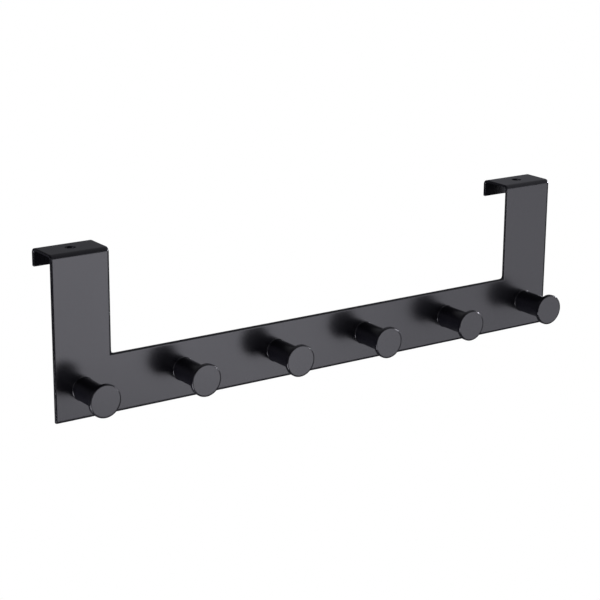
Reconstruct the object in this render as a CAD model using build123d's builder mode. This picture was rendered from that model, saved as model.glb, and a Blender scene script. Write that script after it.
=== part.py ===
from build123d import *
import os
from math import isclose, radians, tan

# Over door hook: a bent sheet-steel rack that hangs on the top edge of a door, with round pegs
# for coats. X runs along the rack, Y goes from the room into the door, Z is up. The origin is
# midway between the two screw holes, on the upper face of the flanges. Millimetres.

# Bent plate
rack_length = 380.0
rack_height = 102.0
strip_height = 37.0
arm_width = 38.0
sheet = 1.5
door_gap = 21.0
lip_drop = 11.5
bend_radius = 1.5
corner_radius = 1.0
notch_radius = 2.0
edge_radius = 0.5
screw_hole_diameter = 6.5

# Pegs
peg_count = 6
peg_reach = 27.0
shaft_diameter = 14.5
head_diameter = 20.5
head_thickness = 2.5
head_edge_radius = 0.5
head_back_chamfer = 0.3
root_radius = 0.4

# Countersunk screws that hold the pegs from behind
screw_diameter = 4.0
screw_length = 12.0
screw_head_diameter = 7.8
screw_head_land = 0.2
screw_clearance = 0.1
screw_end_chamfer = 0.5
tapped_run_out = 2.0
drill_point_angle = 118.0
cross_width = 0.9
cross_span = 4.2
cross_depth = 1.5
cross_taper = 12.0

# Places worked out from the sizes above
plate_back = -door_gap / 2
plate_front = plate_back - sheet
lip_back = door_gap / 2 + sheet
plate_bottom = -rack_height
strip_top = plate_bottom + strip_height
peg_level = plate_bottom + strip_height / 2
arm_centre = (rack_length - arm_width) / 2
peg_pitch = 2 * arm_centre / (peg_count - 1)
peg_places = [-arm_centre + i * peg_pitch for i in range(peg_count)]

os.makedirs("parts", exist_ok=True)


def peg_plane(x, y):
    """Half-section plane of a peg: across is the radius, up is the way out of the door."""
    return Plane(origin=(x, y, peg_level), x_dir=(1, 0, 0), z_dir=(0, 0, -1))


def peg_axis(x, y):
    """Centre line of a peg, out of the plate towards the room."""
    return Axis((x, y, peg_level), (0, -1, 0))


def screw_seat(x):
    """Room for one screw: its countersink, then the hole for its thread and the drill point."""
    seat_radius = screw_head_diameter / 2 + screw_head_land + screw_clearance
    hole_radius = screw_diameter / 2 + screw_clearance
    hole_end = screw_length + tapped_run_out
    drill_tip = hole_end + hole_radius / tan(radians(drill_point_angle / 2))
    with BuildPart() as seat:
        with BuildSketch(peg_plane(x, plate_back)):
            with BuildLine():
                Polyline(
                    (0, 0),
                    (seat_radius, 0),
                    (hole_radius, seat_radius - hole_radius),
                    (hole_radius, hole_end),
                    (0, drill_tip),
                    close=True,
                )
            make_face()
        revolve(axis=peg_axis(x, plate_back))
    return seat.part


# Rack plate: one blank of sheet steel. Its two arms are bent back over the door as flanges and
# down again as short lips. The section is drawn along its outer line and thickened inwards.
with BuildPart() as rack_plate:
    with BuildSketch(Plane.YZ.offset(-rack_length / 2)):
        with BuildLine():
            FilletPolyline(
                (plate_front, plate_bottom),
                (plate_front, 0),
                (lip_back, 0),
                (lip_back, -lip_drop),
                radius=bend_radius + sheet,
            )
            offset(amount=sheet, side=Side.RIGHT)
        make_face()
    extrude(amount=rack_length)

    # The blank is open between the arms, above the strip
    with BuildSketch(Plane.XZ.offset(-lip_back)):
        with Locations((0, strip_top)):
            Rectangle(rack_length - 2 * arm_width, rack_height, align=(Align.CENTER, Align.MIN))
    extrude(amount=2 * lip_back, mode=Mode.SUBTRACT)

    # Rounded corners of the blank: inside the notch, at the strip's ends and on the lips
    across_sheet = rack_plate.edges().filter_by(Axis.Y).filter_by(lambda e: e.length < 2 * sheet)
    levels = across_sheet.group_by(Axis.Z)
    fillet(levels[1], radius=notch_radius)
    fillet(levels[0] + levels[2], radius=corner_radius)

    # Every cut edge of the sheet is rounded over. The lines where a bend starts and ends are
    # smooth already, and so are the short ones across the sheet where a corner's round starts.
    bend_lines = rack_plate.edges().filter_by(Axis.X).filter_by(lambda e: isclose(e.length, arm_width))
    across_lines = rack_plate.edges().filter_by(lambda e: isclose(e.length, sheet))
    fillet(rack_plate.edges() - bend_lines - across_lines, radius=edge_radius)

    # One screw hole in the middle of each flange
    with Locations((-arm_centre, 0, 0), (arm_centre, 0, 0)):
        Hole(radius=screw_hole_diameter / 2)

    for place in peg_places:
        add(screw_seat(place), mode=Mode.SUBTRACT)

rack_plate.part.label = "rack_plate"
export_step(rack_plate.part, "parts/rack_plate.step")


def turned_peg(x):
    """One steel peg: a round shaft with a thin, wider head that keeps loops from slipping off."""
    shaft_radius = shaft_diameter / 2
    head_radius = head_diameter / 2
    head_under = peg_reach - head_thickness
    with BuildPart() as peg:
        with BuildSketch(peg_plane(x, plate_front)) as half_section:
            with BuildLine():
                Polyline(
                    (shaft_radius, root_radius),
                    (shaft_radius, head_under),
                    (head_radius - head_back_chamfer, head_under),
                    (head_radius, head_under + head_back_chamfer),
                    (head_radius, peg_reach),
                    (0, peg_reach),
                    (0, 0),
                    (shaft_radius + root_radius, 0),
                )
                RadiusArc((shaft_radius + root_radius, 0), (shaft_radius, root_radius), root_radius)
            make_face()
            front_edge = half_section.vertices().group_by(Axis.X)[-1].sort_by(Axis.Y)[-1]
            fillet(front_edge, radius=head_edge_radius)
        revolve(axis=peg_axis(x, plate_front))
        add(screw_seat(x), mode=Mode.SUBTRACT)
    return peg


for number, place in enumerate(peg_places, start=1):
    peg = turned_peg(place)
    peg.part.label = f"peg_{number}"
    export_step(peg.part, f"parts/peg_{number}.step")


# Screws: countersunk steel screws with a cross recess, flush with the plate's back face
head_radius = screw_head_diameter / 2
shank_radius = screw_diameter / 2
cone_end = screw_head_land + head_radius - shank_radius
with BuildPart() as peg_screws:
    for place in peg_places:
        with BuildSketch(peg_plane(place, plate_back)):
            with BuildLine():
                Polyline(
                    (0, 0),
                    (head_radius, 0),
                    (head_radius, screw_head_land),
                    (shank_radius, cone_end),
                    (shank_radius, screw_length - screw_end_chamfer),
                    (shank_radius - screw_end_chamfer, screw_length),
                    (0, screw_length),
                    close=True,
                )
            make_face()
        revolve(axis=peg_axis(place, plate_back))
        with BuildSketch(Plane(origin=(place, plate_back, peg_level), x_dir=(1, 0, 0), z_dir=(0, 1, 0))):
            Rectangle(cross_span, cross_width)
            Rectangle(cross_width, cross_span)
        extrude(amount=-cross_depth, taper=cross_taper, mode=Mode.SUBTRACT)

peg_screws.part.label = "peg_screws"
export_step(peg_screws.part, "parts/peg_screws.step")
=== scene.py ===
from math import cos, pi, radians, sin
import bpy
from mathutils import Matrix, Vector


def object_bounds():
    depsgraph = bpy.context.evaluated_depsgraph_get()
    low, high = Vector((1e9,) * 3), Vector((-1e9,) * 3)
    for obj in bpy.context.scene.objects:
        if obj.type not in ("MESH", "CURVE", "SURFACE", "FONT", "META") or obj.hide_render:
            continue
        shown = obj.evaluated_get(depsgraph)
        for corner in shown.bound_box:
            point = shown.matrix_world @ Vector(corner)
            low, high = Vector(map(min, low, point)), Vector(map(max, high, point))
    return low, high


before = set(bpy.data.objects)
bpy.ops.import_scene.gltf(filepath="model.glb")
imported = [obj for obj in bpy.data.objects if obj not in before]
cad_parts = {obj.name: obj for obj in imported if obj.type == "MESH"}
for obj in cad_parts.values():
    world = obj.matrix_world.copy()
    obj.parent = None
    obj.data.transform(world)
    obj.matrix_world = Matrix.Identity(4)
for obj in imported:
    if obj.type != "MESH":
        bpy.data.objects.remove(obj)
cad_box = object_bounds()

# Rack plate. One blank of sheet steel, cut, bent over at the two arms and coated all over with a
# satin black powder paint. The paint flows a little before it sets, which leaves a faint, even
# orange peel, and it stays a touch glossier in some places than in others.
rack_length = 0.380
rack_height = 0.102
arm_width = 0.038
strip_top = -0.065
sheet_edge_band = 0.0015

paint_dark = (0.0034, 0.0033, 0.0050, 1.0)
paint_light = (0.0056, 0.0054, 0.0078, 1.0)
paint_cloud_size = 0.045
paint_roughness = 0.25
paint_roughness_spread = 0.05
peel_size = 0.0016
peel_height = 0.0000045
tooth_size = 0.00022
tooth_share = 0.15
tooth_roughness_spread = 0.03
edge_slope = 1.0


class Wire:
    """A socket in a node tree. Arithmetic on wires adds Math nodes to the tree."""

    def __init__(self, tree, socket=None):
        self.tree = tree
        self.socket = socket

    def node(self, kind, settings=None, inputs=None, out=0):
        """Adds a node, sets it up, fills or links its inputs, and gives one of its outputs."""
        made = self.tree.nodes.new(kind)
        for name, value in (settings or {}).items():
            setattr(made, name, value)
        for name, value in (inputs or {}).items():
            if isinstance(value, Wire):
                self.tree.links.new(value.socket, made.inputs[name])
            else:
                made.inputs[name].default_value = value
        return Wire(self.tree, made.outputs[out])

    def math(self, operation, other=0.0):
        """A Math node on this wire and on another wire or a number."""
        return self.node("ShaderNodeMath", {"operation": operation}, {0: self, 1: other})

    def __add__(self, other):
        return self.math("ADD", other)

    def __sub__(self, other):
        return self.math("SUBTRACT", other)

    def __rsub__(self, other):
        return self.node("ShaderNodeMath", {"operation": "SUBTRACT"}, {0: other, 1: self})

    def __mul__(self, other):
        return self.math("MULTIPLY", other)

    __radd__ = __add__
    __rmul__ = __mul__


def new_finish(name):
    """A new material, its tree as a wire to add nodes to, and its surface shader."""
    material = bpy.data.materials.new(name)
    material.use_nodes = True
    return material, Wire(material.node_tree), material.node_tree.nodes["Principled BSDF"]


def connect(shader, **inputs):
    """Links wires to a shader's inputs, which are named with underscores for spaces."""
    for name, wire in inputs.items():
        wire.tree.links.new(wire.socket, shader.inputs[name.replace("_", " ")])


def own_place(tree):
    """Where a point lies in its own piece's mesh, in metres."""
    return tree.node("ShaderNodeTexCoord", out="Object")


def along(place, axis):
    """One coordinate of a place, by its axis."""
    return place.node("ShaderNodeSeparateXYZ", inputs={"Vector": place}, out=axis)


def noise(place, size):
    """Soft noise from 0 to 1 whose blotches are about one size across."""
    inputs = {"Vector": place, "Scale": 1 / size, "Detail": 2.0, "Roughness": 0.5}
    return place.node("ShaderNodeTexNoise", inputs=inputs, out="Fac")


def blend(share, first, second):
    """A colour that goes from the first to the second as the share goes from 0 to 1."""
    # A Mix node's sockets for colours: 6 and 7 go in, 2 comes out
    inputs = {"Factor": share, 6: first, 7: second}
    return share.node("ShaderNodeMix", {"data_type": "RGBA"}, inputs, 2)


def relief(height, full_height):
    """The normal of a surface that stands full_height proud where the height is 1."""
    inputs = {"Strength": 1.0, "Distance": full_height, "Height": height}
    return height.node("ShaderNodeBump", inputs=inputs)


def satin_black(name, edge_distance, edge_band):
    """Black powder paint with a faint orange peel, which draws back a little from sharp edges."""
    material, tree, shader = new_finish(name)
    place = own_place(tree)
    cloud = noise(place, paint_cloud_size)
    peel = noise(place, peel_size)
    tooth = noise(place, tooth_size)
    roughness = (
        paint_roughness
        + paint_roughness_spread * (cloud - 0.5)
        + tooth_roughness_spread * (tooth - 0.5)
    )

    # Over the band the paint falls off in a parabola, whose slope at the edge is edge_slope
    from_edge = edge_distance(along(place, "X"), along(place, "Z"))
    near_edge = (1 - from_edge * (1 / edge_band)).math("MAXIMUM", 0.0)
    edge_drop = edge_slope * edge_band / 2 / peel_height
    height = (1 - tooth_share) * peel + tooth_share * tooth - edge_drop * (near_edge * near_edge)

    colour = blend(cloud, paint_dark, paint_light)
    connect(shader, Base_Color=colour, Roughness=roughness, Normal=relief(height, peel_height))
    return material


def dress(node, material):
    """Gives a CAD node its finish."""
    node.data.materials.clear()
    node.data.materials.append(material)


def plate_edge(x, z):
    """Distance from the nearest cut edge of the sheet, seen from the front."""
    across = x.math("ABSOLUTE")
    side = rack_length / 2 - across
    bottom = z + rack_height
    notch = (across - (rack_length / 2 - arm_width)).math("MAXIMUM", strip_top - z)
    return side.math("MINIMUM", bottom).math("MINIMUM", notch)


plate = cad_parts["rack_plate"]
dress(plate, satin_black("black_paint_on_sheet", plate_edge, sheet_edge_band))

# Pegs. Six equal steel pegs, turned from bar with a thin head that keeps a coat loop from slipping
# off, coated with the same paint as the plate and held from behind.
peg_count = 6
peg_pitch = (rack_length - arm_width) / (peg_count - 1)
peg_level = (strip_top - rack_height) / 2
head_radius = 0.01025
head_edge_band = 0.0011


def head_edge(x, z):
    """Distance inwards from the rim of the nearest peg's head, seen from the front."""
    across = ((x * (1 / peg_pitch)).math("FRACT") - 0.5) * peg_pitch
    up = z - peg_level
    return head_radius - (across * across + up * up).math("SQRT")


peg_paint = satin_black("black_paint_on_pegs", head_edge, head_edge_band)
for number in range(1, peg_count + 1):
    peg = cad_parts[f"peg_{number}"]
    dress(peg, peg_paint)

# Screws. Six countersunk steel screws with a bright zinc plating, one behind each peg, flush with
# the plate's back face. The plating has a fine grain and is a little duller in patches.
zinc = (0.60, 0.61, 0.62, 1.0)
zinc_dull = (0.44, 0.45, 0.47, 1.0)
zinc_cloud_size = 0.004
zinc_roughness = 0.24
zinc_roughness_spread = 0.15
zinc_grain_size = 0.0003
zinc_grain_height = 0.000004

material, tree, shader = new_finish("zinc_plated_steel")
place = own_place(tree)
grain = noise(place, zinc_grain_size)
colour = blend(noise(place, zinc_cloud_size), zinc, zinc_dull)
roughness = zinc_roughness + zinc_roughness_spread * grain
connect(shader, Base_Color=colour, Roughness=roughness, Normal=relief(grain, zinc_grain_height))
shader.inputs["Metallic"].default_value = 1.0
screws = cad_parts["peg_screws"]
dress(screws, material)

# Studio. A pale floor well below the hanging rack, a white surround, and plain soft lamps, most of
# which stand where a flat face mirrors them towards the camera or a view from another side. The
# small lamp at the right leaves a spark on the rims of the heads and at the roots of the pegs.
floor_level = -3.0
floor_size = 60.0
floor_roughness = 0.9
pale = (0.80, 0.80, 0.80, 1.0)
white = (1.0, 1.0, 1.0, 1.0)
surround_light = 0.35
lamp_tint = (1.0, 0.99, 1.09)
middle = (cad_box[0] + cad_box[1]) / 2


def seen_white(tree):
    """1 for the camera's look, also by way of a mirror or glass, and 0 for light that falls."""
    camera, mirror, glass = (
        tree.node("ShaderNodeLightPath", out=f"Is {kind} Ray")
        for kind in ("Camera", "Glossy", "Transmission")
    )
    return camera.math("MAXIMUM", mirror).math("MAXIMUM", glass)


def around(azimuth, elevation, distance):
    """A place round the rack: azimuth 0 is straight in front, 90 is to its right."""
    turn, climb = radians(azimuth), radians(elevation)
    way = Vector((sin(turn) * cos(climb), -cos(turn) * cos(climb), sin(climb)))
    return way * distance + middle


def softbox(name, azimuth, elevation, distance, width, height, radiance):
    """A rectangular lamp that faces the rack, and whose own face has the given radiance."""
    lamp = bpy.data.lights.new(name, "AREA")
    lamp.shape = "RECTANGLE"
    lamp.size = width
    lamp.size_y = height
    lamp.energy = radiance * width * height * pi
    lamp.color = lamp_tint
    holder = bpy.data.objects.new(name, lamp)
    scene.collection.objects.link(holder)
    holder.location = around(azimuth, elevation, distance)
    holder.rotation_euler = (middle - holder.location).to_track_quat("-Z", "Y").to_euler()
    holder.visible_camera = False


bpy.ops.mesh.primitive_plane_add(size=floor_size, location=(0, 0, floor_level))
floor = bpy.context.object
floor.name = "floor"
material, tree, shader = new_finish("pale_floor")
shader.inputs["Base Color"].default_value = pale
shader.inputs["Roughness"].default_value = floor_roughness
lit = Wire(material.node_tree, shader.outputs[0])
glow = tree.node("ShaderNodeEmission", inputs={"Color": white, "Strength": 1.0})
surface = tree.node("ShaderNodeMixShader", inputs={"Fac": seen_white(tree), 1: lit, 2: glow})
connect(material.node_tree.nodes["Material Output"], Surface=surface)
floor.data.materials.append(material)

scene = bpy.context.scene
world = bpy.data.worlds.new("surround")
scene.world = world
world.use_nodes = True
background = world.node_tree.nodes["Background"]
background.inputs["Color"].default_value = white
strength = surround_light + (1 - surround_light) * seen_white(Wire(world.node_tree))
connect(background, Strength=strength)

# Name, azimuth and elevation in degrees, distance, width and height in metres, radiance
lamps = (
    ("softbox_right", 18.5, -6, 1.25, 0.79, 0.86, 1.3),
    ("softbox_right_wide", 33, -9, 1.25, 1.22, 0.76, 1.66),
    ("softbox_left", -88, -35, 1.0, 0.65, 0.46, 10.5),
    ("softbox_behind", 157, -9, 1.25, 1.6, 0.48, 1.0),
    ("lamp_right", 88, 10, 1.2, 0.1, 0.1, 230),
    ("softbox_front_left", -48, 12, 1.3, 0.9, 0.7, 0.9),
    ("softbox_low", 10, -52, 1.3, 1.5, 0.5, 0.7),
)
for lamp in lamps:
    softbox(*lamp)

# Dim room. The black paint mirrors it instead of the white surround. It is brightest high up at
# the right. The camera looks through it, and it casts no shadow.
room_radius = 2.6
room_low = (0.06, 0.06, 0.066, 1.0)
room_high = (0.60, 0.60, 0.66, 1.0)
unlit = (0.0, 0.0, 0.0, 1.0)

bpy.ops.mesh.primitive_uv_sphere_add(
    segments=48, ring_count=24, radius=room_radius, location=(0, 0, 0)
)
room = bpy.context.object
room.name = "dim_room"
material, tree, shader = new_finish("dim_room")
place = own_place(tree)
high, right = (0.5 + along(place, axis) * (0.5 / room_radius) for axis in "ZX")
connect(shader, Emission_Color=blend(high * high * right * right, room_low, room_high))
shader.inputs["Emission Strength"].default_value = 1.0
shader.inputs["Base Color"].default_value = unlit
shader.inputs["Specular IOR Level"].default_value = 0.0
room.data.materials.append(material)
room.visible_camera = False
room.visible_shadow = False

# Camera, at the photograph's angle: in front of the rack, to its left and a little above. Angles
# are in degrees, and the lens is in millimetres.
camera_place = (-0.6332, -0.9040, 0.2608)
camera_azimuth = 34.65
camera_elevation = 16.16
camera_roll = 0.45
camera_lens = 107.31

camera = bpy.data.objects.new("camera", bpy.data.cameras.new("camera"))
scene.collection.objects.link(camera)
scene.camera = camera
camera.data.lens = camera_lens
camera.location = camera_place
camera.rotation_euler = (
    Matrix.Rotation(radians(-camera_azimuth), 4, "Z")
    @ Matrix.Rotation(radians(90 - camera_elevation), 4, "X")
    @ Matrix.Rotation(radians(camera_roll), 4, "Z")
).to_euler()
scene.view_settings.view_transform = "Standard"
